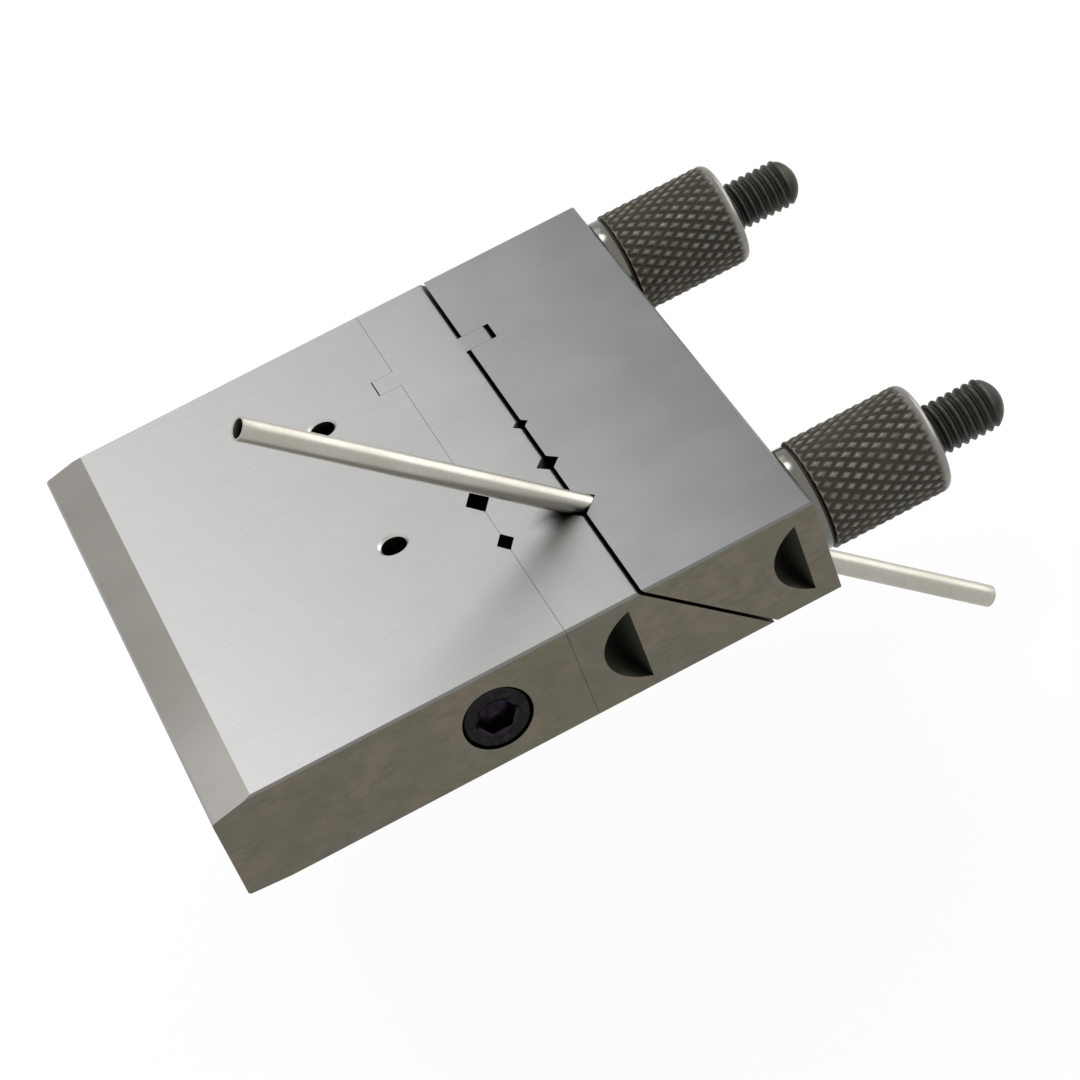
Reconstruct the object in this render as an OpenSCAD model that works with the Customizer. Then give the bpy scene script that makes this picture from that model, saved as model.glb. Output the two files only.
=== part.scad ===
// Miter cutting jig: three ground steel blocks on two studs, closed by knurled nuts.
// The faces between them hold stock for a square cut and for a 45 degree cut.
// X runs from the bevelled end to the nuts, Y from the front side to the rear side, Z up.
// The origin is the centre of the underside of the steel.

/* [Steel] */
// Depth of the steel from its front side to its rear side
steel_width = 67.6; // [60:0.2:80]
// Thickness of the three blocks
steel_thickness = 12.7; // [12:0.1:16]
// Length of the base block, from the bevelled end to the square face
base_length = 41.3; // [38:0.1:50]
// Length of the middle jaw along its top face
middle_top_length = 8.4; // [7.6:0.1:14]
// Length of the outer jaw along its top face
outer_top_length = 20.2; // [18.5:0.1:26]
// Angle between the slanted cutting face and the underside
miter_angle = 45; // [44:0.5:50]
// Flat broken along each long outer edge
edge_break = 0.25; // [0.1:0.05:0.6]

/* [Bevelled end] */
// Length of the top bevel
top_bevel_length = 4.9; // [2:0.1:8]
// Drop of the top bevel at the end
top_bevel_drop = 1.1; // [0.4:0.1:3]
// Length of the bottom bevel
bottom_bevel_length = 8.2; // [2:0.1:12]
// Rise of the bottom bevel at the end
bottom_bevel_rise = 0.6; // [0.4:0.1:3]

/* [Stock] */
// Outside diameter of the tube held in the slanted groove
tube_diameter = 2.6; // [2:0.1:3.4]
// Wall of the tube
tube_wall = 0.25; // [0.15:0.05:0.8]
// Length of tube above the top face, along the tube
tube_above = 41.4; // [20:0.1:60]
// Length of tube beyond the same point, down the slope
tube_below = 57.8; // [25:0.1:70]
// Distance from the front side to the tube
tube_y = 17.5; // [15.5:0.1:18]
// Gap between the slanted faces while they grip the tube, measured along X
grip_gap = 0.6; // [0.3:0.05:1]
// Clearance between the tube and the groove walls
tube_clearance = 0.03; // [0.01:0.01:0.1]

/* [V grooves] */
// Angle between the two walls of each groove
groove_angle = 115; // [100:5:130]
// Half width of the large groove in the square face
square_large_half = 2.35; // [1.8:0.05:2.8]
// Distance from the front side to the large square groove
square_large_y = 25.9; // [24:0.1:30]
// Half width of the small groove in the square face
square_small_half = 1.6; // [1:0.05:1.8]
// Distance from the front side to the small square groove
square_small_y = 17.4; // [16:0.1:19]
// Half width of the medium groove in the slanted face
slant_medium_half = 1.2; // [0.9:0.05:1.8]
// Distance from the front side to the medium slanted groove
slant_medium_y = 26.2; // [24:0.1:28]
// Half width of the small groove in the slanted face
slant_small_half = 0.7; // [0.5:0.05:1.4]
// Distance from the front side to the small slanted groove
slant_small_y = 34.5; // [32:0.1:40]

/* [Tongues] */
// Width of the tongues that keep the blocks in line
tongue_width = 3; // [2.4:0.1:5]
// Distance from the front side to the middle of the tongues
tongue_y = 52.7; // [45:0.1:53]
// Reach of the tongue into the base block
square_tongue_reach = 2.7; // [1.5:0.1:4]
// Reach of the tongue into the outer jaw
slant_tongue_reach = 3.3; // [2:0.1:5]
// Room left beyond the tip of a tongue with the faces shut
tongue_end_room = 0.1; // [0.05:0.05:0.5]
// Clearance on each side of a tongue
tongue_clearance = 0.03; // [0.01:0.01:0.1]
// Hairline left between ground faces that meet
seat_gap = 0.04; // [0.02:0.01:0.1]

/* [Studs and nuts] */
// Outside diameter of the stud thread
stud_diameter = 6; // [5:0.5:7]
// Distance from the front side to the front stud
front_stud_y = 8.5; // [7.5:0.1:9]
// Distance from the rear side to the rear stud
rear_stud_inset = 6.4; // [6:0.1:9]
// Depth of each stud in the base block
stud_depth = 15.8; // [14.5:0.1:22]
// Length of stud beyond the outer jaw
stud_reach = 25.4; // [21:0.1:34]
// Height of the domed tip of a stud
stud_dome_rise = 1.9; // [0.8:0.1:2.4]
// Clearance around a stud in the jaws and the nuts
stud_clearance = 0.08; // [0.03:0.01:0.1]
// Diameter of the nuts over the knurl
nut_diameter = 12.8; // [11.5:0.1:13]
// Length of the nuts
nut_length = 16; // [12:0.5:18]
// Length of the plain collar next to the jaw
collar_length = 1.6; // [1:0.1:3]
// Step from the collar out to the knurl
collar_step = 0.3; // [0.1:0.05:0.6]
// Chamfer at the two ends of a nut
nut_chamfer = 0.9; // [0.4:0.1:1.4]

/* [Lock screws] */
// Diameter of the screws that lock the studs
lock_diameter = 8; // [6:0.5:9]
// Distance across the flats of their hexagon sockets
socket_across_flats = 4; // [3:0.5:4.5]
// Depth of the hexagon sockets
socket_depth = 2.2; // [1.5:0.1:2.4]
// Distance from the bevelled end to the lock screws
lock_x = 31.3; // [31:0.1:34]
// Chamfer at the outer rim of a lock screw
lock_chamfer = 0.5; // [0.2:0.1:0.8]

/* [Round stock holes] */
// Diameter of the upright holes in the base block
stock_hole_diameter = 3; // [2:0.1:4]
// Distance from the bevelled end to both holes
stock_hole_x = 30.9; // [28:0.1:33]
// Distance from the front side to the front hole
front_hole_y = 25.9; // [22:0.1:30]
// Distance from the front side to the rear hole
rear_hole_y = 50.7; // [44:0.1:52]
// Chamfer at the mouths of the holes
hole_chamfer = 0.3; // [0.2:0.05:0.6]

/* [Pull pockets] */
// Radius of the cutter that sinks the pull pockets
cutter_radius = 5.4; // [4.5:0.1:6]
// Depth of the middle pocket into the side
middle_pocket_depth = 2.1; // [1:0.1:2.4]
// Depth of the outer pocket into the side
outer_pocket_depth = 1.8; // [1:0.1:2.4]
// Tilt of the cutter from square to the side
cutter_tilt = 45; // [35:1:55]
// Distance from the square face to the straight wall of the middle pocket
middle_pocket_x = 6.9; // [6:0.1:8]
// Distance from the end face to the straight wall of the outer pocket
outer_pocket_inset = 2.7; // [2:0.1:5]

/* [Hidden] */

$fn = 64;
over = 1;                                          // how far a cutter runs past the solid

mid_z = steel_thickness / 2;
slant_run = steel_thickness / tan(miter_angle);    // how far the slanted faces run along X
square_x = base_length + seat_gap;                 // square face of the middle jaw
middle_edge_x = square_x + middle_top_length;      // top edge of the middle jaw's slanted face
outer_edge_x = middle_edge_x + grip_gap;           // top edge of the outer jaw's slanted face
end_x = outer_edge_x + outer_top_length;           // end face under the nuts
tube_x = middle_edge_x + grip_gap / 2;             // where the tube's axis crosses the top face

half_angle = groove_angle / 2;
tube_radius = tube_diameter / 2;
grip_gap_square = grip_gap * sin(miter_angle);     // the same gap, square to the faces
tube_groove_depth = (tube_radius + tube_clearance) / sin(half_angle) - grip_gap_square / 2;

stud_radius = stud_diameter / 2;
rear_stud_y = steel_width - rear_stud_inset;
nut_radius = nut_diameter / 2;
lock_radius = lock_diameter / 2;
lock_tip_room = 0.02;                              // between a lock screw's tip and its stud
lock_window = 0.8;                                 // how far a screw hole cuts into a stud bore
nut_face_x = end_x + seat_gap;
drill_point_angle = 118;

ground_steel = [0.66, 0.66, 0.65];
shaded_steel = [0.56, 0.57, 0.58];
black_oxide = [0.12, 0.12, 0.12];
knurled_steel = [0.34, 0.34, 0.32];
silver = [0.86, 0.85, 0.8];

// Puts a piece drawn from the front lower corner of the bevelled end into the part's frame
module placed() {
    translate([-end_x / 2, -steel_width / 2, 0]) children();
}

// Copies what is on the front side to the rear side as well
module both_sides() {
    children();
    translate([0, steel_width, 0]) mirror([0, 1, 0]) children();
}

// A side outline in X and Z, carried through the depth, with the edges along X broken too
module steel_bar(x_low, x_high) {
    intersection() {
        translate([0, steel_width, 0]) rotate([90, 0, 0]) linear_extrude(steel_width) children();
        translate([x_low, 0, 0]) rotate([90, 0, 90]) linear_extrude(x_high - x_low)
            polygon([[edge_break, 0], [steel_width - edge_break, 0], [steel_width, edge_break],
                     [steel_width, steel_thickness - edge_break], [steel_width - edge_break, steel_thickness],
                     [edge_break, steel_thickness], [0, steel_thickness - edge_break], [0, edge_break]]);
    }
}

// Side outline of the base block, with its two shallow bevels
module base_outline() {
    polygon([[0, bottom_bevel_rise + edge_break], [edge_break, bottom_bevel_rise],
             [bottom_bevel_length, 0], [base_length, 0], [base_length, steel_thickness],
             [top_bevel_length, steel_thickness], [edge_break, steel_thickness - top_bevel_drop],
             [0, steel_thickness - top_bevel_drop - edge_break]]);
}

// Side outline of the middle jaw: square on the left, slanted on the right
module middle_outline() {
    polygon([[square_x, 0], [middle_edge_x + slant_run, 0], [middle_edge_x, steel_thickness],
             [square_x, steel_thickness]]);
}

// Side outline of the outer jaw: slanted on the left, square on the right
module outer_outline() {
    polygon([[outer_edge_x + slant_run, 0], [end_x - edge_break, 0], [end_x, edge_break],
             [end_x, steel_thickness - edge_break], [end_x - edge_break, steel_thickness],
             [outer_edge_x, steel_thickness]]);
}

// Diamond section of a groove, for the cutter that leaves one wall pair in each block
module groove_section(depth) {
    half_width = depth * tan(half_angle);
    polygon([[-depth, 0], [0, -half_width], [depth, 0], [0, half_width]]);
}

// Groove straight down a square face
module square_groove(face_x, y, half_width) {
    translate([face_x, y, -over]) linear_extrude(steel_thickness + 2 * over)
        groove_section(half_width / tan(half_angle));
}

// Groove down a slanted face whose top edge is at edge_x
module slant_groove(edge_x, y, depth) {
    run = steel_thickness / sin(miter_angle) + 4 * over;
    translate([edge_x + slant_run / 2, y, mid_z]) rotate([0, miter_angle - 90, 0])
        translate([0, 0, -run / 2]) linear_extrude(run) groove_section(depth);
}

// Grooves of the square faces, cut alike into the base block and the middle jaw
module square_grooves(face_x) {
    square_groove(face_x, square_large_y, square_large_half);
    square_groove(face_x, square_small_y, square_small_half);
}

// Grooves of the slanted faces, cut alike into the middle jaw and the outer jaw
module slant_grooves(edge_x) {
    slant_groove(edge_x, tube_y, tube_groove_depth);
    slant_groove(edge_x, slant_medium_y, slant_medium_half / tan(half_angle));
    slant_groove(edge_x, slant_small_y, slant_small_half / tan(half_angle));
}

// Upright tongue, or its notch, from x_low to x_high, leaning with the slanted faces by lean
module tongue(x_low, x_high, lean, side_room, end_over) {
    slope = lean / steel_thickness;
    translate([0, tongue_y + tongue_width / 2 + side_room, 0]) rotate([90, 0, 0])
        linear_extrude(tongue_width + 2 * side_room)
            polygon([[x_low + lean + slope * end_over, -end_over], [x_high + lean + slope * end_over, -end_over],
                     [x_high - slope * end_over, steel_thickness + end_over],
                     [x_low - slope * end_over, steel_thickness + end_over]]);
}

// Bores for the two studs, from x_low to x_high
module stud_bores(x_low, x_high, radius) {
    for (y = [front_stud_y, rear_stud_y])
        translate([x_low, y, mid_z]) rotate([0, 90, 0]) cylinder(r = radius, h = x_high - x_low);
}

// Pocket with one straight wall at wall_x, sunk into the front side by a tilted cutter
module pull_pocket(wall_x, depth) {
    wall_length = depth / sin(cutter_tilt);
    translate([wall_x, 0, mid_z]) rotate([0, 0, -cutter_tilt])
        translate([cutter_radius - wall_length, 0, 0]) rotate([90, 0, 0])
            cylinder(r = cutter_radius, h = 2 * cutter_radius);
}

// Blind tapped holes for the studs, with the drill's point at the bottom
module tapped_holes() {
    point_length = stud_radius / tan(drill_point_angle / 2);
    for (y = [front_stud_y, rear_stud_y])
        translate([base_length - stud_depth, y, mid_z]) rotate([0, 90, 0]) {
            cylinder(r = stud_radius, h = stud_depth + over);
            translate([0, 0, -point_length]) cylinder(r1 = 0, r2 = stud_radius, h = point_length);
        }
}

// Hole for the front lock screw and, mirrored, one for the rear
module lock_hole(stud_inset) {
    translate([lock_x, -over, mid_z]) rotate([-90, 0, 0])
        cylinder(r = lock_radius, h = over + stud_inset - stud_radius + lock_window);
}

// Upright hole with both mouths chamfered
module stock_hole(y) {
    radius = stock_hole_diameter / 2;
    translate([stock_hole_x, y, 0]) {
        translate([0, 0, -over]) cylinder(r = radius, h = steel_thickness + 2 * over);
        for (mouth = [0, 1])
            translate([0, 0, mouth * steel_thickness]) mirror([0, 0, mouth])
                translate([0, 0, -over])
                    cylinder(r1 = radius + hole_chamfer + over, r2 = radius, h = hole_chamfer + over);
    }
}

module base_block() {
    color(ground_steel) placed() difference() {
        steel_bar(0, base_length) base_outline();
        square_grooves(base_length);
        tongue(square_x - square_tongue_reach - seat_gap - tongue_end_room, base_length + over, 0,
               tongue_clearance, over);
        tapped_holes();
        lock_hole(front_stud_y);
        translate([0, steel_width, 0]) mirror([0, 1, 0]) lock_hole(rear_stud_inset);
        stock_hole(front_hole_y);
        stock_hole(rear_hole_y);
    }
}

module middle_jaw() {
    color(ground_steel) placed() difference() {
        union() {
            steel_bar(square_x, middle_edge_x + slant_run) middle_outline();
            tongue(square_x - square_tongue_reach, square_x + over, 0, 0, 0);
            tongue(middle_edge_x - over, middle_edge_x + slant_tongue_reach, slant_run, 0, 0);
        }
        square_grooves(square_x);
        slant_grooves(middle_edge_x);
        stud_bores(square_x - over, middle_edge_x + slant_run + over, stud_radius + stud_clearance);
        both_sides() pull_pocket(square_x + middle_pocket_x, middle_pocket_depth);
    }
}

module outer_jaw() {
    color(shaded_steel) placed() difference() {
        steel_bar(outer_edge_x, end_x) outer_outline();
        slant_grooves(outer_edge_x);
        tongue(outer_edge_x - over, outer_edge_x + slant_tongue_reach + tongue_end_room, slant_run,
               tongue_clearance, over);
        stud_bores(outer_edge_x, end_x + over, stud_radius + stud_clearance);
        both_sides() pull_pocket(end_x - outer_pocket_inset, outer_pocket_depth);
    }
}

// Threaded stud with a domed tip, locked in the base block
module stud(y) {
    length = stud_depth + end_x - base_length + stud_reach;
    dome_radius = (pow(stud_radius, 2) + pow(stud_dome_rise, 2)) / (2 * stud_dome_rise);
    color(black_oxide) placed() translate([base_length - stud_depth, y, mid_z]) rotate([0, 90, 0])
        intersection() {
            cylinder(r = stud_radius, h = length);
            translate([0, 0, length - dome_radius]) union() {
                sphere(r = dome_radius);
                translate([0, 0, -length]) cylinder(r = dome_radius, h = length);
            }
        }
}

// Long round nut: plain collar at the jaw, knurled band, chamfered ends
module nut(y) {
    bore = stud_radius + stud_clearance;
    collar_radius = nut_radius - collar_step;
    color(knurled_steel) placed() translate([nut_face_x, y, mid_z]) rotate([0, 90, 0]) rotate_extrude()
        polygon([[bore, 0], [collar_radius - collar_step, 0], [collar_radius, collar_step],
                 [collar_radius, collar_length], [nut_radius, collar_length + collar_step],
                 [nut_radius, nut_length - nut_chamfer], [nut_radius - nut_chamfer, nut_length],
                 [bore, nut_length]]);
}

// Set screw with a hexagon socket, its tip against the stud
module lock_screw(stud_inset) {
    length = stud_inset - stud_radius - lock_tip_room;
    socket_radius = socket_across_flats / 2 / cos(30);
    color(black_oxide) translate([lock_x, 0, mid_z]) rotate([-90, 0, 0]) difference() {
        union() {
            cylinder(r1 = lock_radius - lock_chamfer, r2 = lock_radius, h = lock_chamfer);
            translate([0, 0, lock_chamfer]) cylinder(r = lock_radius, h = length - lock_chamfer);
        }
        translate([0, 0, -over]) cylinder(r = socket_radius, h = socket_depth + over, $fn = 6);
    }
}

module front_lock_screw() {
    placed() lock_screw(front_stud_y);
}

module rear_lock_screw() {
    placed() translate([0, steel_width, 0]) mirror([0, 1, 0]) lock_screw(rear_stud_inset);
}

// Hollow tube gripped in the first slanted groove
module stock_tube() {
    length = tube_above + tube_below;
    color(silver) placed() translate([tube_x, tube_y, steel_thickness]) rotate([0, miter_angle - 90, 0])
        translate([0, 0, -tube_below]) difference() {
            cylinder(r = tube_radius, h = length);
            translate([0, 0, -over]) cylinder(r = tube_radius - tube_wall, h = length + 2 * over);
        }
}

base_block();
middle_jaw();
outer_jaw();
stud(front_stud_y);  // front_stud
stud(rear_stud_y);  // rear_stud
nut(front_stud_y);  // front_nut
nut(rear_stud_y);  // rear_nut
front_lock_screw();
rear_lock_screw();
stock_tube();
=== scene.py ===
import math

import bpy
import numpy as np
from mathutils import Matrix, Vector


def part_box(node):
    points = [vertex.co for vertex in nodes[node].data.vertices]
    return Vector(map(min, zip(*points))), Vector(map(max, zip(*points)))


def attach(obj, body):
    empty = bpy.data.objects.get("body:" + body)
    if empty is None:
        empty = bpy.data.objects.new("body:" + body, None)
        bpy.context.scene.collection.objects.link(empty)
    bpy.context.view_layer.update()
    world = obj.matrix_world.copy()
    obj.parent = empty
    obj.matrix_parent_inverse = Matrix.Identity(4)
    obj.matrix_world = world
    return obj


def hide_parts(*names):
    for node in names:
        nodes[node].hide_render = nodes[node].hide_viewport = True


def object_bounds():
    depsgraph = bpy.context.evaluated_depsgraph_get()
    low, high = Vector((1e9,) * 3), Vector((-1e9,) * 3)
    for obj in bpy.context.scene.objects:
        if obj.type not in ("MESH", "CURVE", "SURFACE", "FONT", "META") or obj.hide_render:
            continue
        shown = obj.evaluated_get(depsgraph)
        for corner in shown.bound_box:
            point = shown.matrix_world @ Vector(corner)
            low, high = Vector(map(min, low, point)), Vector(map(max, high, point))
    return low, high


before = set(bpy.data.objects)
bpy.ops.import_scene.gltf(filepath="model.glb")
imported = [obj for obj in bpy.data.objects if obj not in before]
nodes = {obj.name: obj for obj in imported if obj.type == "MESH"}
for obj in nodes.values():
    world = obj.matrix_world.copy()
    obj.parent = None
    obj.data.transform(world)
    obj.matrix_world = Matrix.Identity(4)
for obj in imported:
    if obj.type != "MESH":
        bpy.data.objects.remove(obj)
cadLow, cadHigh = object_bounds()
print("frame loaded:", len(nodes), "CAD nodes")


def startMaterial(name):
    material = bpy.data.materials.new(name)
    material.use_nodes = True
    tree = material.node_tree
    tree.nodes.clear()
    output = tree.nodes.new("ShaderNodeOutputMaterial")
    shader = tree.nodes.new("ShaderNodeBsdfPrincipled")
    tree.links.new(shader.outputs["BSDF"], output.inputs["Surface"])
    return material, tree, shader


def plug(tree, socket, value):
    # a number or colour is set, another node's output is linked
    if isinstance(value, bpy.types.NodeSocket):
        tree.links.new(value, socket)
    else:
        socket.default_value = value


def combine(tree, operation, first, second=None):
    node = tree.nodes.new("ShaderNodeMath")
    node.operation = operation
    for socket, value in zip(node.inputs, (first, second)):
        if value is not None:
            plug(tree, socket, value)
    return node.outputs[0]


def product(tree, *shares):
    total = shares[0]
    for share in shares[1:]:
        total = combine(tree, "MULTIPLY", total, share)
    return total


def ramp(tree, value, low, high, toLow=0.0, toHigh=1.0, smooth=True):
    node = tree.nodes.new("ShaderNodeMapRange")
    node.interpolation_type = "SMOOTHSTEP" if smooth else "LINEAR"
    for key, number in zip(("Value", "From Min", "From Max", "To Min", "To Max"),
                           (value, low, high, toLow, toHigh)):
        plug(tree, node.inputs[key], number)
    return node.outputs[0]


def blendColours(tree, share, first, second):
    node = tree.nodes.new("ShaderNodeMix")
    node.data_type = "RGBA"
    plug(tree, node.inputs["Factor"], share)
    for socket, value in zip([s for s in node.inputs if s.type == "RGBA"], (first, second)):
        plug(tree, socket, (*value, 1.0) if isinstance(value, tuple) else value)
    return [s for s in node.outputs if s.type == "RGBA"][0]


def coordinates(tree, stretch, turn=(0, 0, 0)):
    # object coordinates, stretched or turned to lay a grain
    place = tree.nodes.new("ShaderNodeTexCoord")
    mapping = tree.nodes.new("ShaderNodeMapping")
    mapping.inputs["Scale"].default_value = stretch
    mapping.inputs["Rotation"].default_value = turn
    tree.links.new(place.outputs["Object"], mapping.inputs["Vector"])
    return mapping.outputs["Vector"]


noiseBand = (0.3, 0.7)      # most of a noise lies between these


def noise(tree, where, scale, detail, roughness):
    node = tree.nodes.new("ShaderNodeTexNoise")
    tree.links.new(where, node.inputs["Vector"])
    node.inputs["Scale"].default_value = scale
    node.inputs["Detail"].default_value = detail
    node.inputs["Roughness"].default_value = roughness
    return node.outputs[0]


def splitPlace(tree):
    # place and facing, each by X, Y and Z
    place = tree.nodes.new("ShaderNodeTexCoord")
    where = tree.nodes.new("ShaderNodeSeparateXYZ")
    facing = tree.nodes.new("ShaderNodeSeparateXYZ")
    tree.links.new(place.outputs["Object"], where.inputs[0])
    tree.links.new(place.outputs["Normal"], facing.inputs[0])
    return where.outputs, facing.outputs


def fromAxis(tree, across, centre):
    # distance from an axis, by the two coordinates across it
    squares = []
    for value, middle in zip(across, centre):
        off = combine(tree, "SUBTRACT", value, middle)
        squares.append(product(tree, off, off))
    return combine(tree, "SQRT", combine(tree, "ADD", *squares))


def shadeByOcclusion(tree, reach, closed, free):
    # how much painted shade a spot gets from occlusion: 0 on an outer face, 1 down a slot or a hole
    node = tree.nodes.new("ShaderNodeAmbientOcclusion")
    node.samples = 8
    node.inputs["Distance"].default_value = reach
    return ramp(tree, node.outputs["AO"], closed, free, 1.0, 0.0)


def tonesAlong(tree, place, stops):
    # a colour for each stop of a piece's length, even between them
    low, high = stops[0][0], stops[-1][0]
    node = tree.nodes.new("ShaderNodeValToRGB")
    marks = node.color_ramp.elements
    marks[0].color, marks[1].color = (*stops[0][1], 1), (*stops[-1][1], 1)
    for stop, colour in stops[1:-1]:
        marks.new((stop - low) / (high - low)).color = (*colour, 1)
    plug(tree, node.inputs[0], ramp(tree, place, low, high, smooth=False))
    return node.outputs[0]


def layGrains(tree, look):
    # a grain is its stretch along X, scale, detail and roughness
    return {key: noise(tree, coordinates(tree, (along, 1, 1)), *rest)
            for key, (along, *rest) in look["grains"].items()}


def layTones(tree, colour, look, layers, grains):
    # a layer is a grain, where its blend starts and is full, how far it goes, and its tone
    for grain, low, high, most, tone in look[layers]:
        share = ramp(tree, grains[grain], low, high, 0.0, most)
        colour = blendColours(tree, share, colour, look[tone])
    return colour


def unevenRoughness(tree, grain, look):
    down, up = look["roughnessPlay"]
    return ramp(tree, grain, *noiseBand, look["roughness"] - down, look["roughness"] + up)


def finishMetal(tree, shader, colour, rough, height, bump):
    # bump is the strength of the relief and its depth in metres
    strength, distance = bump
    relief = tree.nodes.new("ShaderNodeBump")
    relief.inputs["Strength"].default_value = strength
    relief.inputs["Distance"].default_value = distance
    tree.links.new(height, relief.inputs["Height"])
    tree.links.new(relief.outputs[0], shader.inputs["Normal"])
    shader.inputs["Metallic"].default_value = 1.0
    plug(tree, shader.inputs["Base Color"], colour)
    plug(tree, shader.inputs["Roughness"], rough)


blocks = {
    # X range of a block's two pull pockets, and centres of its round holes
    "base_block": {"pocket": None, "holes": ((-0.00437, -0.0079), (-0.00437, 0.0169))},
    "middle_jaw": {"pocket": (0.0060, 0.0131), "holes": ()},
    "outer_jaw": {"pocket": (0.0235, 0.0327), "holes": ()},
}
groundLook = {
    # the ground top by X: base and middle jaw, then the darker outer jaw; each block is also
    # lighter towards the left end as painted light
    "topTonesAndPaintedLight": (
        (-0.031, (0.337, 0.335, 0.329)), (0.0085, (0.324, 0.323, 0.317)),
        (0.0140, (0.310, 0.310, 0.305)), (0.0149, (0.263, 0.266, 0.263)),
        (0.035, (0.186, 0.190, 0.188))),
    "line": (0.17, 0.172, 0.168),          # the finest grinding lines
    "pale": (0.6, 0.59, 0.56),
    # the bevel is darker than the top, and darker at the rear, as painted shade
    "bevelShadeFront": (0.262, 0.247, 0.230),
    "bevelShadeRear": (0.180, 0.168, 0.153),
    "bevelBlend": (-0.030, -0.006),        # where along Y the bevel's two tones meet
    "side": (0.158, 0.145, 0.113),         # browner milled sides, also darker than the tops as painted shade
    "sideDark": (0.134, 0.123, 0.093),
    "sideWarm": (0.186, 0.158, 0.127),
    "sideGreen": (0.138, 0.137, 0.103),
    "edge": (0.165, 0.165, 0.155),         # soft line along the broken edges
    "edgeShare": 0.85,
    "rim": (0.50, 0.50, 0.48),             # painted highlight on the chamfers of the two round holes
    "rimReach": (0.002, 0.0021),
    # painted shade for slots, holes and seams, by occlusion
    "occlusionShade": (0.006, 0.0055, 0.004),
    "occlusionShadeReach": 0.003,
    "occlusionShadeFade": (0.5, 0.88),
    "grooveFrom": (0.0025, 0.003),         # the V grooves lie past this X
    "grooveShare": 0.05,                   # of the ground tone is left on their walls under the painted shade
    # painted shade filling the pull pockets
    "pocketShadeBlack": (0.026, 0.026, 0.019),
    "pocketShare": 0.97,
    "pocketZ": (0.0009, 0.0118),
    "pocketFrom": (4e-6, 8e-6),            # just behind the side face
    "pocketDepth": (0.0024, 0.0028),
    "pocketFade": 1e-5,
    "halfDepth": 0.0338,                   # from the middle to either side face
    "endX": (0.0300, 0.0310),              # milled end faces lie past this X
    "topRoughness": 0.40,
    "sideRoughness": 0.48,
    "topPlay": 0.03,                       # how far the roughness goes up and down
    "bump": (0.25, 0.00002),
    "fineRelief": 0.4,
    "grains": {
        "fine": (0.05, 5200, 4, 0.55), "scratch": (0.02, 1900, 2, 0.55), "broad": (1, 90, 4, 0.55),
        "streak": (0.3, 1800, 4, 0.6), "blotch": (0.8, 420, 3, 0.55), "patch": (1, 170, 3, 0.55)},
    "topLayers": (("fine", 0.35, 0.65, 0.10, "line"), ("scratch", 0.66, 0.72, 0.10, "line"),
                  ("broad", 0.35, 0.65, 0.04, "pale")),
    "sideLayers": (("streak", 0.36, 0.64, 1.0, "sideDark"), ("blotch", 0.38, 0.68, 0.7, "sideWarm"),
                   ("patch", 0.40, 0.68, 0.7, "sideGreen")),
    # where a mask starts and is full, by how far a face looks along an axis
    "some": (0.2, 0.3), "half": (0.5, 0.6), "most": (0.8, 0.9), "straight": (0.8, 0.95),
    "notSteep": (0.85, 0.75), "notStraight": (0.97, 0.93), "bevelled": (-0.12, -0.18),
}


def steelMasks(tree, x, facing):
    look = groundLook
    endways, sideways, upright = (combine(tree, "ABSOLUTE", part) for part in facing)
    # sides and outer ends are milled, all the rest is ground
    farOut = ramp(tree, combine(tree, "ABSOLUTE", x), *look["endX"])
    onEnd = product(tree, ramp(tree, endways, *look["straight"]), farOut)
    milled = combine(tree, "MAXIMUM", onEnd, ramp(tree, sideways, *look["straight"]))
    # faces that lean about 45 degrees, and of those the flats along the long edges
    leaning = product(tree, ramp(tree, upright, *look["half"]),
                      ramp(tree, upright, *look["notSteep"]))
    flats = product(tree, leaning, ramp(tree, sideways, *look["half"]))
    bevel = product(tree, ramp(tree, facing[0], *look["bevelled"]),
                    ramp(tree, facing[2], *look["most"]))
    # walls of the V grooves, darkened as painted shade
    grooves = product(tree, ramp(tree, sideways, *look["some"]),
                      ramp(tree, sideways, *look["notStraight"]),
                      ramp(tree, endways, *look["some"]), ramp(tree, x, *look["grooveFrom"]))
    return milled, leaning, flats, bevel, grooves


def inPocket(tree, x, y, z, span):
    look = groundLook
    depth = combine(tree, "SUBTRACT", look["halfDepth"], combine(tree, "ABSOLUTE", y))
    inside = product(tree, ramp(tree, depth, *look["pocketFrom"]),
                     ramp(tree, depth, *look["pocketDepth"], 1.0, 0.0))
    fade = look["pocketFade"]
    for value, (start, end) in ((x, span), (z, look["pocketZ"])):
        inside = product(tree, inside, ramp(tree, value, start - fade, start),
                         ramp(tree, value, end, end + fade, 1.0, 0.0))
    return inside


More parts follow.
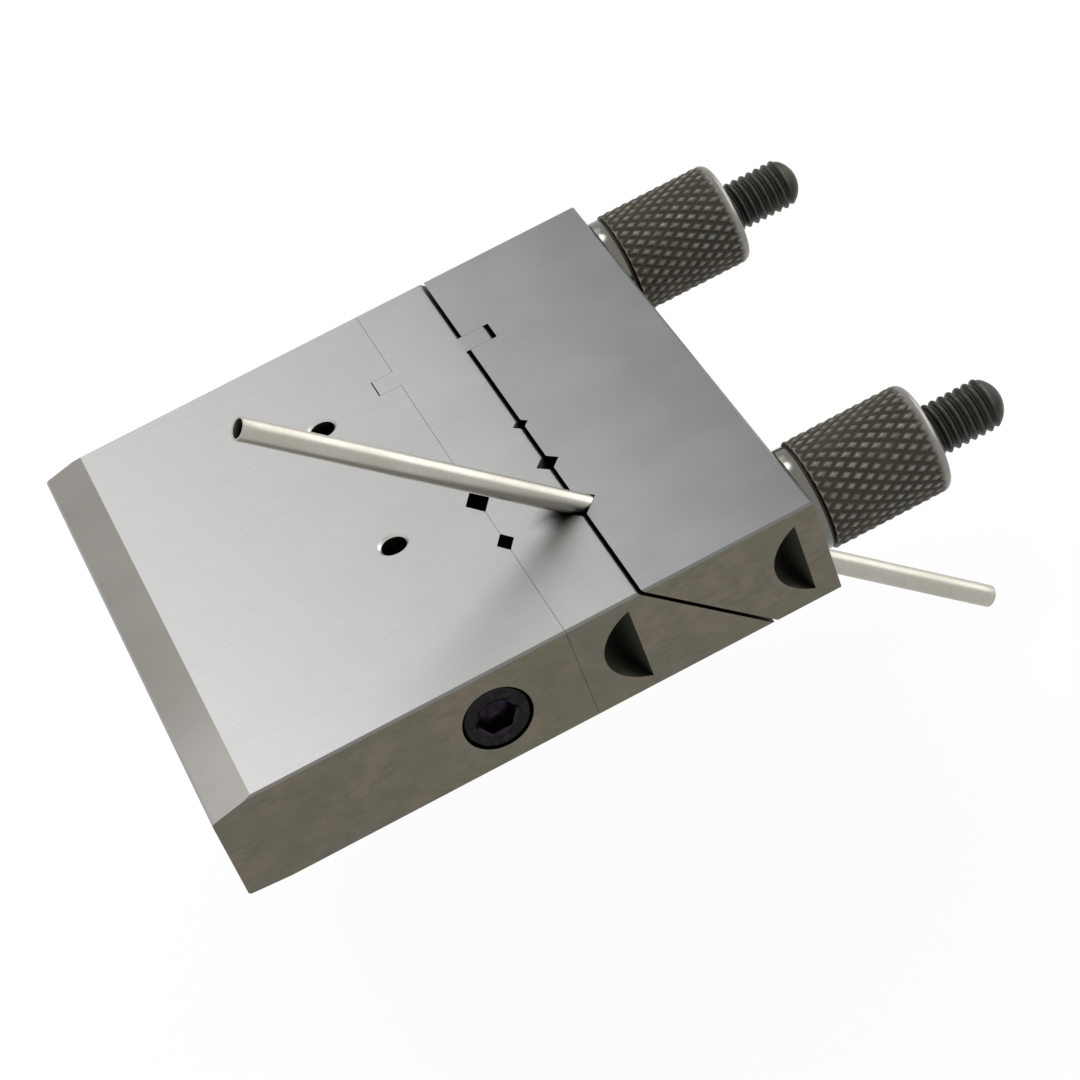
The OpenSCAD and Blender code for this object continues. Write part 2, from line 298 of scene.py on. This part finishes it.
def groundSteel(name, block):
    look = groundLook
    material, tree, shader = startMaterial(name + "_steel")
    (x, y, z), facing = splitPlace(tree)
    milled, leaning, flats, bevel, grooves = steelMasks(tree, x, facing)
    grains = layGrains(tree, look)
    # block tones along X, with painted light lighter towards the left
    top = tonesAlong(tree, x, look["topTonesAndPaintedLight"])
    # painted shade on the bevel, darker towards the rear
    bevelShade = blendColours(tree, ramp(tree, y, *look["bevelBlend"]),
                             look["bevelShadeFront"], look["bevelShadeRear"])
    top = layTones(tree, blendColours(tree, bevel, top, bevelShade), look, "topLayers", grains)
    # milled sides: a browner finish, darkened further as painted shade
    side = layTones(tree, look["side"], look, "sideLayers", grains)
    colour = blendColours(tree, milled, top, side)
    colour = blendColours(tree, product(tree, flats, look["edgeShare"]), colour, look["edge"])
    # painted shade where a spot is shut in, by occlusion
    occlusionShade = shadeByOcclusion(tree, look["occlusionShadeReach"], *look["occlusionShadeFade"])
    # the share left unshaded after painted shade by occlusion and on the V groove walls
    free = product(tree, ramp(tree, occlusionShade, 0, 1, 1.0, 0.0, smooth=False),
                   ramp(tree, grooves, 0, 1, 1.0, look["grooveShare"], smooth=False))
    colour = blendColours(tree, combine(tree, "SUBTRACT", 1.0, free), colour, look["occlusionShade"])
    if block["pocket"]:
        # painted shade: the pull pockets are painted near-black all over, up to the side face
        inside = product(tree, inPocket(tree, x, y, z, block["pocket"]), look["pocketShare"])
        colour = blendColours(tree, inside, colour, look["pocketShadeBlack"])
    # a painted highlight on the chamfer round each round hole
    for centre in block["holes"]:
        near = ramp(tree, fromAxis(tree, (x, y), centre), *look["rimReach"], 1.0, 0.0)
        colour = blendColours(tree, product(tree, leaning, near), colour, look["rim"])
    rough = combine(
        tree, "ADD", ramp(tree, milled, 0, 1, look["topRoughness"], look["sideRoughness"]),
        ramp(tree, grains["broad"], *noiseBand, -look["topPlay"], look["topPlay"]))
    height = combine(tree, "ADD", product(tree, grains["fine"], look["fineRelief"]),
                     product(tree, grains["streak"], milled))
    finishMetal(tree, shader, colour, rough, height, look["bump"])
    return material


for name, block in blocks.items():
    for slot in nodes[name].material_slots:
        slot.material = groundSteel(name, block)
print("blocks dressed")


def meshFromGrid(name, points, closeRows=False, caps=(None, None)):
    # points is rows x columns x 3; columns close round, and a cap is one point that closes an end
    rows, columns = points.shape[:2]
    index = np.arange(rows * columns).reshape(rows, columns)
    nextRow = np.roll(index, -1, 0) if closeRows else index[1:]
    thisRow = index if closeRows else index[:-1]
    corners = (thisRow, np.roll(thisRow, -1, 1), np.roll(nextRow, -1, 1), nextRow)
    faces = np.stack(corners, -1).reshape(-1, 4).tolist()
    spots = [points.reshape(-1, 3)]
    for cap, row, turned in ((caps[0], index[0], False), (caps[1], index[-1], True)):
        if cap is None:
            continue
        middle = np.full(columns, sum(len(s) for s in spots))
        spots.append(np.array([cap], float))
        pair = (row, np.roll(row, -1)) if turned else (np.roll(row, -1), row)
        faces += np.stack([pair[0], pair[1], middle], -1).tolist()
    mesh = bpy.data.meshes.new(name)
    mesh.from_pydata(np.concatenate(spots).tolist(), [], faces)
    mesh.update()
    mesh.validate()
    piece = bpy.data.objects.new(name, mesh)
    bpy.context.scene.collection.objects.link(piece)
    return piece


def finishPiece(piece, sharpAngle, material, body, node):
    piece.data.polygons.foreach_set("use_smooth", np.ones(len(piece.data.polygons), bool))
    piece.data.set_sharp_from_angle(angle=math.radians(sharpAngle))
    piece.data.materials.append(material)
    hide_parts(node)
    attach(piece, body)


def anglesRound(columns):
    return np.arange(columns) * 2 * np.pi / columns


def threadWave(place, turn, pitch, rootFlat, crestFlat):
    # 0 at the root and 1 at the crest of a V thread; a full turn moves it along by one pitch
    phase = (place / pitch - turn / (2 * np.pi)) % 1
    wave = 1 - np.abs(2 * phase - 1)
    return np.clip((wave - rootFlat) / (1 - rootFlat - crestFlat), 0, 1)


turnedLook = {
    "grains": {"spots": (1, 900, 4, 0.55), "patches": (1, 260, 3, 0.55)},
    "layers": (("spots", 0.4, 0.7, 0.45, "grime"), ("patches", 0.35, 0.7, 0.3, "tint")),
    "roughnessPlay": (0.06, 0.08),
    "bump": (0.3, 0.00003),
}


def turnedSteel(name, axis, piece):
    # colour runs from painted shade at the bottom of the cut to its top, lighter with wear and
    # painted highlight, by distance from the axis along X
    look = {**turnedLook, **piece}
    material, tree, shader = startMaterial(name)
    (x, y, z), _ = splitPlace(tree)
    grains = layGrains(tree, look)
    # painted shade down the cut, and a lighter top that is partly wear and partly painted highlight
    level = ramp(tree, fromAxis(tree, (y, z), axis), look["bottom"], look["top"])
    colour = blendColours(tree, level, look["dark"], look["bright"])
    colour = layTones(tree, colour, look, "layers", grains)
    rough = unevenRoughness(tree, grains["spots"], look)
    for start, end, fade, plainColour, plainRoughness in look.get("plain", ()):
        onPlain = product(tree, ramp(tree, x, start - fade, start),
                          ramp(tree, x, end, end + fade, 1.0, 0.0))
        colour = blendColours(tree, onPlain, colour, plainColour)
        rough = ramp(tree, onPlain, 0, 1, rough, plainRoughness, smooth=False)
    finishMetal(tree, shader, colour, rough, grains["spots"], look["bump"])
    return material


studs = {
    "pitch": 0.001,
    "crest": 0.0030,
    "root": 0.00266,
    "crestFlat": 0.16,
    "rootFlat": 0.18,
    "domeRise": 0.0019,
    "rowsPerPitch": 10,
    "domeRows": 14,
    "columns": 40,
    "sharpAngle": 40,
    "dark": (0.026, 0.025, 0.022), "bright": (0.058, 0.056, 0.049),
    "grime": (0.030, 0.028, 0.022), "tint": (0.050, 0.046, 0.036), "roughness": 0.44,
}


def threadedStud(name, node, body):
    # distance from the axis is the thread's wave, and never more than the round end allows
    low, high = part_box(node)
    axisY, axisZ = (low.y + high.y) / 2, (low.z + high.z) / 2
    crest, root, rise = studs["crest"], studs["root"], studs["domeRise"]
    dome = (crest ** 2 + rise ** 2) / (2 * rise)
    widest = math.asin(crest / dome)
    straightEnd = high.x - rise
    steps = int((straightEnd - low.x) / studs["pitch"] * studs["rowsPerPitch"])
    lean = np.linspace(widest, 0, studs["domeRows"])[1:-1]
    along = np.concatenate([np.linspace(low.x, straightEnd, steps),
                            high.x - dome * (1 - np.cos(lean))])
    x, turn = np.meshgrid(along, anglesRound(studs["columns"]), indexing="ij")
    wave = threadWave(x, turn, studs["pitch"], studs["rootFlat"], studs["crestFlat"])
    fromTip = np.clip(high.x - x, 0, dome)
    radius = np.minimum(root + (crest - root) * wave, np.sqrt(dome ** 2 - (dome - fromTip) ** 2))
    points = np.stack([x, axisY + radius * np.cos(turn), axisZ + radius * np.sin(turn)], -1)
    piece = meshFromGrid(name, points, caps=((low.x, axisY, axisZ), (high.x, axisY, axisZ)))
    oxide = turnedSteel(name + "_oxide", (axisY, axisZ), {**studs, "bottom": root, "top": crest})
    finishPiece(piece, studs["sharpAngle"], oxide, body, node)


for side in ("front", "rear"):
    threadedStud(side + "_stud_thread", side + "_stud", "base")
print("studs threaded")


nuts = {
    "around": 30,          # diamonds round the nut
    "helix": 31.0,         # slant of the knurl from the axis
    "steps": 12,           # grid steps for each diamond
    "depth": 0.00028,
    "crestFlat": 0.04,
    "collarLength": 0.0016,
    "collarStep": 0.0003,
    "collarEdge": ((0.0, 0.0003), (0.0001, 0.0001), (0.0003, 0.0)),    # each place and its drop
    "relief": 0.00022,     # groove between the collar and the knurl
    "reliefSlope": 0.6,    # how steep its sides are
    "bandStep": 0.0002,    # the knurl's edge at the groove
    "outerRound": 0.0013,
    "outerDrop": 0.0008,
    "roundRows": 14,
    "bore": 0.00308,
    "mouth": 0.0004,
    "cutAtStart": 0.4,     # share of the full depth at the knurl's edge
    "fadeIn": 0.0003, "fadeOut": 0.0010,
    "endRun": 0.0007,      # how far the knurl runs out onto the round end
    "endDrop": 0.8,        # and how far down its drop
    "sharpAngle": 28,
    "dark": (0.042, 0.039, 0.031), "bright": (0.20, 0.196, 0.174),
    "grime": (0.060, 0.054, 0.040), "tint": (0.085, 0.073, 0.052), "roughness": 0.52,
    "darkBelow": 0.75,     # "darkBelow": 0.75, # share of the depth where the dark painted shade is full
    "brightBelow": 0.00003,
    "beyond": 0.001,       # plain ends reach this far past the nut
    # the collar's plain tone is darkened as painted shade beside the jaw
    "collarColour": (0.15, 0.147, 0.13), "collarRoughness": 0.18, "collarFade": 0.0001,
    "endColour": (0.22, 0.216, 0.20), "endRoughness": 0.34, "endFade": 0.0006,
}


def knurledNut(name, node, body):
    # a closed outline in length and radius carried round the axis; in the knurled band the radius
    # drops by the lower of two V waves that cross, one leaning each way
    low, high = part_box(node)
    axisY, axisZ = (low.y + high.y) / 2, (low.z + high.z) / 2
    full, length = (high.z - low.z) / 2, high.x - low.x
    bore, mouth, relief = nuts["bore"], nuts["mouth"], nuts["relief"]
    columns = nuts["around"] * nuts["steps"]
    diamondLength = 2 * np.pi * full / nuts["around"] / math.tan(math.radians(nuts["helix"]))
    collar, collarEnd = full - nuts["collarStep"], nuts["collarLength"]
    bandStart = collarEnd + nuts["collarStep"]
    bandEnd = length - nuts["outerRound"]
    slope = nuts["reliefSlope"] * relief
    outline = [(0.0, bore + mouth), (0.0, (bore + collar) / 2)]
    outline += [(place, collar - drop) for place, drop in nuts["collarEdge"]]
    outline += [(collarEnd - relief, collar), (collarEnd - slope, collar - relief),
                (bandStart - relief, collar - relief), (bandStart - slope, full - nuts["bandStep"])]
    outline += [(place, full)
                for place in np.arange(bandStart, bandEnd, diamondLength / nuts["steps"])]
    bend = np.linspace(0, np.pi / 2, nuts["roundRows"])
    outline += [(bandEnd + nuts["outerRound"] * math.sin(b),
                 full - nuts["outerDrop"] * (1 - math.cos(b))) for b in bend]
    outline += [(length, (bore + full) / 2), (length, bore + mouth),
                (length - mouth, bore), (mouth, bore)]
    outline = np.array(outline)
    place, angle = np.meshgrid(outline[:, 0], anglesRound(columns), indexing="ij")
    radius = np.repeat(outline[:, 1:], columns, 1)
    across = angle * nuts["around"] / (2 * np.pi)
    along = (place - bandStart) / diamondLength
    waves = [np.abs(2 * ((across + sign * along) % 1) - 1) for sign in (1, -1)]
    height = np.clip(np.minimum(*waves) / (1 - nuts["crestFlat"]), 0, 1)
    inBand = (radius > full - nuts["outerDrop"] * nuts["endDrop"]) & (place >= bandStart - 1e-9)
    knurlEnd = bandEnd + nuts["endRun"]
    cut = (np.clip((place - bandStart) / nuts["fadeIn"] + nuts["cutAtStart"], 0, 1)
           * np.clip((knurlEnd - place) / nuts["fadeOut"], 0, 1) * inBand)
    radius = radius - cut * nuts["depth"] * (1 - height)
    points = np.stack([low.x + place, axisY + radius * np.cos(angle),
                       axisZ + radius * np.sin(angle)], -1)
    piece = meshFromGrid(name, points, closeRows=True)
    # start and end along X, fade, colour and roughness of the two plain ends
    plain = ((low.x - nuts["beyond"], low.x + collarEnd - relief, nuts["collarFade"],
              nuts["collarColour"], nuts["collarRoughness"]),
             (low.x + knurlEnd, high.x + nuts["beyond"], nuts["endFade"],
              nuts["endColour"], nuts["endRoughness"]))
    bottom, top = full - nuts["darkBelow"] * nuts["depth"], full - nuts["brightBelow"]
    steel = turnedSteel(name + "_steel", (axisY, axisZ),
                        {**nuts, "bottom": bottom, "top": top, "plain": plain})
    finishPiece(piece, nuts["sharpAngle"], steel, body, node)


for side in ("front", "rear"):
    knurledNut(side + "_nut_knurl", side + "_nut", side + "_nut")
print("nuts knurled")


lockScrews = {
    "pitch": 0.00125,
    "root": 0.00324,
    "rootFlat": 0.16,
    "crestFlat": 0.14,
    "chamfer": 0.0005,
    "acrossFlats": 0.004,
    "socketDepth": 0.0022,
    "socketCone": 0.0006,      # drilled bottom below the socket
    "bottomRing": 0.6,         # share of the socket's width where the cone starts
    "mouthChamfer": 0.00025,
    "mouthDepth": 0.0004,
    "pointChamfer": 0.0009,
    "cup": 0.0007,
    "cupRadius": 0.0024,
    "rowsPerPitch": 10,
    "columns": 72,
    "sharpAngle": 30,
    # the socket tone is the violet oxide tint, lightened as painted light against its shade
    "face": (0.013, 0.012, 0.012), "socket": (0.022, 0.017, 0.027), "worn": (0.045, 0.042, 0.044),
    "socketFade": 0.0003,
    "rimReach": (0.0034, 0.0037),
    "rimWear": 0.25,
    "grains": {"spots": (1, 1400, 4, 0.55)},
    "layers": (("spots", 0.45, 0.7, 0.35, "worn"),),
    "roughness": 0.36, "roughnessPlay": (0.05, 0.1),
    "bump": (0.25, 0.00003),
}
cornerOfFlat = 1 / math.cos(math.radians(30))      # a hexagon's corner radius over half its flats


def blackOxide(name, centre):
    # the socket's violet oxide tone, lightened as painted light against its own shade, and a rim
    # worn a little, by distance from the axis along Y
    look = lockScrews
    material, tree, shader = startMaterial(name)
    (x, _, z), _ = splitPlace(tree)
    radius = fromAxis(tree, (x, z), (centre.x, centre.z))
    grains = layGrains(tree, look)
    socketEdge = look["acrossFlats"] / 2 * cornerOfFlat + look["mouthChamfer"]
    inSocket = ramp(tree, radius, socketEdge - look["socketFade"], socketEdge, 1.0, 0.0)
    colour = blendColours(tree, inSocket, look["face"], look["socket"])
    rim = ramp(tree, radius, *look["rimReach"], 0.0, look["rimWear"])
    colour = blendColours(tree, rim, colour, look["worn"])
    colour = layTones(tree, colour, look, "layers", grains)
    rough = unevenRoughness(tree, grains["spots"], look)
    finishMetal(tree, shader, colour, rough, grains["spots"], look["bump"])
    return material


def socketScrew(name, node, body, inward):
    # an outline from the socket's bottom, over the face and down the thread to the cup point,
    # carried round the axis; a row is a circle or a hexagon, whose radius is half the flats over
    # the cosine of the angle from the nearest flat
    low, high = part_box(node)
    centre = (low + high) / 2
    faceY = low.y if inward > 0 else high.y
    look = lockScrews
    crest, length, root = (high.z - low.z) / 2, high.y - low.y, look["root"]
    flat = look["acrossFlats"] / 2
    mouth = flat * cornerOfFlat + look["mouthChamfer"]
    turn = anglesRound(look["columns"])
    hexagon = flat / np.cos((turn % (np.pi / 3)) - np.pi / 6)
    circle = np.ones_like(turn)
    threadEnd = length - look["pointChamfer"]
    steps = int((threadEnd - look["chamfer"]) / look["pitch"] * look["rowsPerPitch"])
    down = np.linspace(look["chamfer"], threadEnd, steps)
    grid = np.meshgrid(down, turn, indexing="ij")
    wave = threadWave(*grid, look["pitch"], look["rootFlat"], look["crestFlat"])
    toEnd = np.minimum(down - look["chamfer"], threadEnd - down)[:, None]
    nearEnd = np.clip(toEnd / look["pitch"], 0, 1)
    thread = crest - (crest - root) * (1 - wave) * nearEnd
    depths = [look["socketDepth"], look["socketDepth"], look["mouthDepth"], 0.0, 0.0]
    rings = [hexagon * look["bottomRing"], hexagon, hexagon, mouth * circle,
             (crest - look["chamfer"]) * circle]
    depths += list(down) + [length, length]
    rings += list(thread) + [(crest - look["pointChamfer"]) * circle, look["cupRadius"] * circle]
    depth = np.repeat(np.array(depths)[:, None], len(turn), 1)
    radius = np.stack(rings)
    points = np.stack([centre.x + radius * np.cos(turn), faceY + inward * depth,
                       centre.z - inward * radius * np.sin(turn)], -1)
    bottom = (centre.x, faceY + inward * (look["socketDepth"] + look["socketCone"]), centre.z)
    tip = (centre.x, faceY + inward * (length - look["cup"]), centre.z)
    piece = meshFromGrid(name, points, caps=(bottom, tip))
    oxide = blackOxide(name + "_oxide", centre)
    finishPiece(piece, look["sharpAngle"], oxide, body, node)


socketScrew("front_lock_thread", "front_lock_screw", "base", 1)
socketScrew("rear_lock_thread", "rear_lock_screw", "base", -1)
print("lock screws cut")


tube = {
    "wall": 0.00025,
    "rim": 0.00006,
    "above": 0.0414,           # length above the top face, measured along its axis
    "below": 0.0578,
    "columns": 96,
    "lengths": 60,
    "rimRows": 5,
    "sharpAngle": 50,
    "bright": (0.42, 0.408, 0.362), "stain": (0.39, 0.373, 0.315), "line": (0.34, 0.326, 0.274),
    # painted shade down the bore, by occlusion
    "occlusionShade": (0.012, 0.012, 0.011),
    "occlusionShadeReach": 0.004, "occlusionShadeFade": (0.2, 0.5),
    "grains": {"spots": (1, 130, 4, 0.55)},
    "lineStretch": (1, 1, 0.03), "lineGrain": (3500, 3, 0.55),
    "layers": (("spots", 0.4, 0.7, 0.6, "stain"), ("lines", 0.4, 0.7, 0.25, "line")),
    "roughness": 0.33, "roughnessPlay": (0.04, 0.05),
    "bump": (0.15, 0.00001),
}


def drawnSilver():
    material, tree, shader = startMaterial("drawn_silver")
    grains = layGrains(tree, tube)
    # the drawn lines run along the tube, which leans 45 degrees
    along = coordinates(tree, tube["lineStretch"], (0, math.radians(45), 0))
    grains["lines"] = noise(tree, along, *tube["lineGrain"])
    colour = layTones(tree, tube["bright"], tube, "layers", grains)
    # painted shade down the tube's bore, by occlusion
    occlusionShade = shadeByOcclusion(tree, tube["occlusionShadeReach"], *tube["occlusionShadeFade"])
    colour = blendColours(tree, occlusionShade, colour, tube["occlusionShade"])
    rough = unevenRoughness(tree, grains["spots"], tube)
    finishMetal(tree, shader, colour, rough, grains["lines"], tube["bump"])
    return material


def silverTube(name, node, body):
    # a ring outline with rounded rims carried round a slanted axis
    lean = np.array([-1, 0, 1]) / math.sqrt(2)
    out = np.array([1, 0, 1]) / math.sqrt(2)
    across = np.array([0.0, 1.0, 0.0])
    rim, above, below = tube["rim"], tube["above"], tube["below"]
    low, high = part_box(node)
    outer = (high.y - low.y) / 2
    inner = outer - tube["wall"]
    crossing = [high.x - (below + outer) / math.sqrt(2), (low.y + high.y) / 2,
                high.z - (above + outer) / math.sqrt(2)]
    stations = np.linspace(-below + rim, above - rim, tube["lengths"])
    quarter = np.linspace(0, np.pi / 2, tube["rimRows"])
    sine, cosine = rim * np.sin(quarter), rim * np.cos(quarter)
    outline = np.concatenate([
        np.stack([stations, np.full_like(stations, outer)], 1),
        np.stack([above - rim + sine, outer - rim + cosine], 1)[1:],
        np.stack([above - rim + cosine, inner + rim - sine], 1),
        np.stack([stations[::-1], np.full_like(stations, inner)], 1)[1:],
        np.stack([-below + rim - sine, inner + rim - cosine], 1)[1:],
        np.stack([-below + rim - cosine, outer - rim + sine], 1)[:-1]])
    place, angle = np.meshgrid(outline[:, 0], anglesRound(tube["columns"]), indexing="ij")
    radius = np.repeat(outline[:, 1:], tube["columns"], 1)
    points = (np.array(crossing) + place[..., None] * lean
              + (radius * np.cos(angle))[..., None] * out
              + (radius * np.sin(angle))[..., None] * across)
    piece = meshFromGrid(name, points, closeRows=True)
    finishPiece(piece, tube["sharpAngle"], drawnSilver(), body, node)


silverTube("stock_tube_drawn", "stock_tube", "stock_tube")
print("tube drawn")


studio = {
    "floorHalf": 1.5,
    "floorColour": (0.9, 0.9, 0.9),
    "floorRoughness": 0.9,
    "floorGlow": 0.9,
    "tubeRoom": 0.0143,        # how far the tube goes down at the end of its slide
    "worldLight": 0.95,
    "lamps": {
        "key_lamp": {"from": (-0.12, 0.36, 0.65), "size": 0.26, "power": 1.25},
        "rear_lamp": {"from": (-0.10, 0.60, 0.44), "size": 0.30, "power": 0.28},
        "right_lamp": {"from": (0.71, 0.12, 0.185), "size": 0.90, "height": 0.40, "power": 1.9},
    },
}
camera = {
    "lens": 112.63, "sensor": 36.0, "shift": (-0.0037, 0.0007), "clip": (0.01, 10),
    "place": (-0.02668, -0.29472, 0.24213),
    "right": (0.88319, -0.36326, -0.29667),
    "up": (0.4581, 0.53245, 0.71179),
    "forward": (0.1006, 0.76455, -0.63666),
}


def whiteRays(tree):
    rays = tree.nodes.new("ShaderNodeLightPath").outputs
    seen = combine(tree, "MAXIMUM", rays["Is Camera Ray"], rays["Is Glossy Ray"])
    return combine(tree, "MAXIMUM", seen, rays["Is Transmission Ray"])


def layFloor():
    half, floorZ = studio["floorHalf"], cadLow.z - studio["tubeRoom"]
    corners = [(x * half, y * half, floorZ) for x, y in ((-1, -1), (1, -1), (1, 1), (-1, 1))]
    mesh = bpy.data.meshes.new("floor")
    mesh.from_pydata(corners, [], [(0, 1, 2, 3)])
    floor = bpy.data.objects.new("floor", mesh)
    bpy.context.scene.collection.objects.link(floor)
    material, tree, shader = startMaterial("pale_floor")
    shader.inputs["Base Color"].default_value = (*studio["floorColour"], 1)
    shader.inputs["Roughness"].default_value = studio["floorRoughness"]
    shader.inputs["Specular IOR Level"].default_value = 0.0
    glow = tree.nodes.new("ShaderNodeEmission")
    join = tree.nodes.new("ShaderNodeMixShader")
    plug(tree, join.inputs[0], product(tree, whiteRays(tree), studio["floorGlow"]))
    tree.links.new(shader.outputs[0], join.inputs[1])
    tree.links.new(glow.outputs[0], join.inputs[2])
    output = next(n for n in tree.nodes if n.type == "OUTPUT_MATERIAL")
    tree.links.new(join.outputs[0], output.inputs["Surface"])
    mesh.materials.append(material)


def lightWorld():
    world = bpy.data.worlds.new("studio")
    world.use_nodes = True
    tree = world.node_tree
    tree.nodes.clear()
    output = tree.nodes.new("ShaderNodeOutputWorld")
    back = tree.nodes.new("ShaderNodeBackground")
    back.inputs["Color"].default_value = (1, 1, 1, 1)
    strength = ramp(tree, whiteRays(tree), 0, 1, studio["worldLight"], 1.0, smooth=False)
    plug(tree, back.inputs["Strength"], strength)
    tree.links.new(back.outputs[0], output.inputs["Surface"])
    bpy.context.scene.world = world


def hangLamp(name, look):
    lamp = bpy.data.lights.new(name, "AREA")
    lamp.shape = "ELLIPSE"
    lamp.size, lamp.size_y = look["size"], look.get("height", look["size"])
    lamp.energy = look["power"]
    holder = bpy.data.objects.new(name, lamp)
    holder.location = look["from"]
    holder.rotation_mode = "QUATERNION"
    holder.rotation_quaternion = (-Vector(look["from"])).to_track_quat("-Z", "Y")
    bpy.context.scene.collection.objects.link(holder)


def setCamera():
    eye = bpy.data.cameras.new("camera")
    eye.lens, eye.sensor_width = camera["lens"], camera["sensor"]
    eye.shift_x, eye.shift_y = camera["shift"]
    eye.clip_start, eye.clip_end = camera["clip"]
    holder = bpy.data.objects.new("camera", eye)
    bpy.context.scene.collection.objects.link(holder)
    columns = [Vector(camera["right"]), Vector(camera["up"]), -Vector(camera["forward"])]
    turn = Matrix(columns).transposed().to_4x4()
    holder.matrix_world = Matrix.Translation(camera["place"]) @ turn
    bpy.context.scene.camera = holder


layFloor()
lightWorld()
for name, look in studio["lamps"].items():
    hangLamp(name, look)
setCamera()
bpy.context.scene.view_settings.view_transform = "Standard"
print("studio set")
